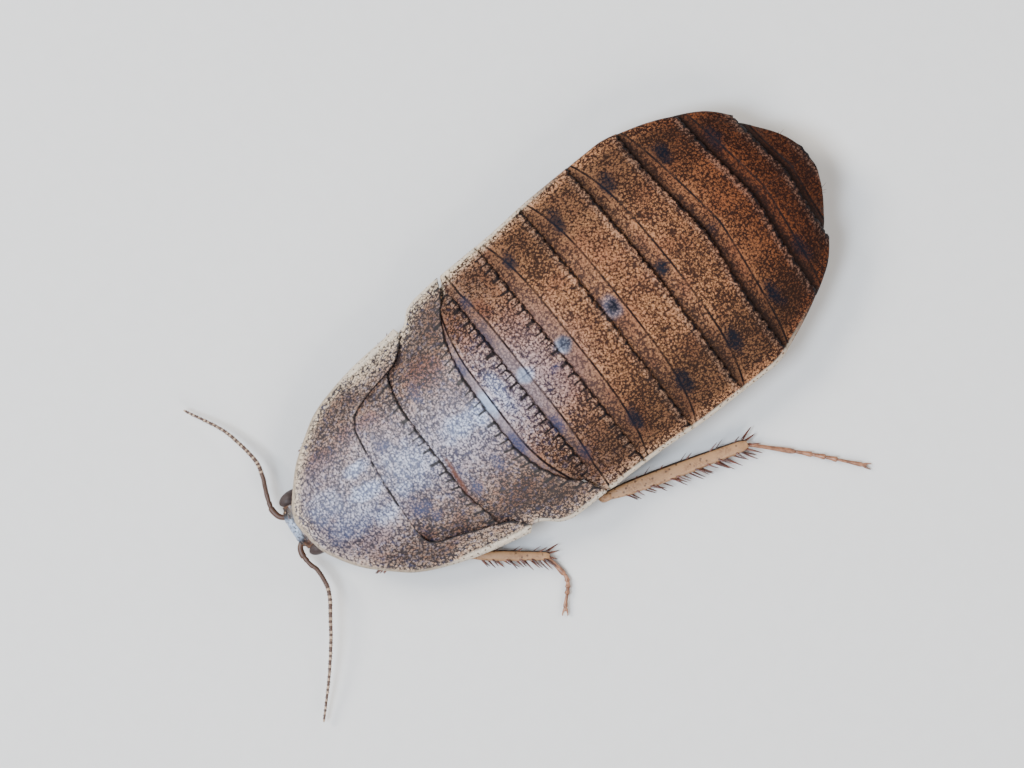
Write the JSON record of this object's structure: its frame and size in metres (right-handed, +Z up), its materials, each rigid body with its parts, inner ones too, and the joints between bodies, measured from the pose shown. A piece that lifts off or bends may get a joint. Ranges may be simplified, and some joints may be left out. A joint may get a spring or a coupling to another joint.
{
  "type": "bark cockroach",
  "caption": "Still life-size model of a wingless female bark cockroach, flat and oval, with overlapping back plates, drawn-in legs and short antennae.",
  "frame": {"origin": "middle of the flat under the belly, on the floor", "axes": "+Y towards the tail along the body, +X towards the animal's left, +Z up"},
  "size_m": [0.0212, 0.0324, 0.0052],
  "materials": {
    "thorax_plate": "granular grey-brown cuticle with a pale rim and a blue-grey sheen",
    "abdomen_plate": "granular warm brown cuticle with dark spots",
    "belly": "smooth dark brown cuticle",
    "head": "dark glossy cuticle",
    "eye": "black, faceted",
    "leg": "tan cuticle with red-brown spines",
    "foot": "red-brown cuticle",
    "feeler": "ringed brown cuticle"
  },
  "bodies": {
    "root": {"abdomen_underside": "belly", "antenna_base_left": "feeler", "antenna_base_right": "feeler", "antenna_left": "feeler", "antenna_right": "feeler", "cercus_left": "leg", "cercus_right": "leg", "coxa_fore_left": "leg", "coxa_fore_right": "leg", "coxa_hind_left": "leg", "coxa_hind_right": "leg", "coxa_middle_left": "leg", "coxa_middle_right": "leg", "eye_left": "eye", "eye_right": "eye", "femur_fore_left": "leg", "femur_fore_right": "leg", "femur_hind_left": "leg", "femur_hind_right": "leg", "femur_middle_left": "leg", "femur_middle_right": "leg", "head": "head", "mesonotum": "thorax_plate", "metanotum": "thorax_plate", "palp_left": "leg", "palp_right": "leg", "pronotum": "thorax_plate", "tarsus_fore_left": "foot", "tarsus_fore_right": "foot", "tarsus_hind_left": "foot", "tarsus_hind_right": "foot", "tarsus_middle_left": "foot", "tarsus_middle_right": "foot", "tergite_1": "abdomen_plate", "tergite_10": "abdomen_plate", "tergite_2": "abdomen_plate", "tergite_3": "abdomen_plate", "tergite_4": "abdomen_plate", "tergite_5": "abdomen_plate", "tergite_6": "abdomen_plate", "tergite_7": "abdomen_plate", "thorax_underside": "belly", "tibia_fore_left": "leg", "tibia_fore_right": "leg", "tibia_hind_left": "leg", "tibia_hind_right": "leg", "tibia_middle_left": "leg", "tibia_middle_right": "leg"}
  },
  "joints": []
}
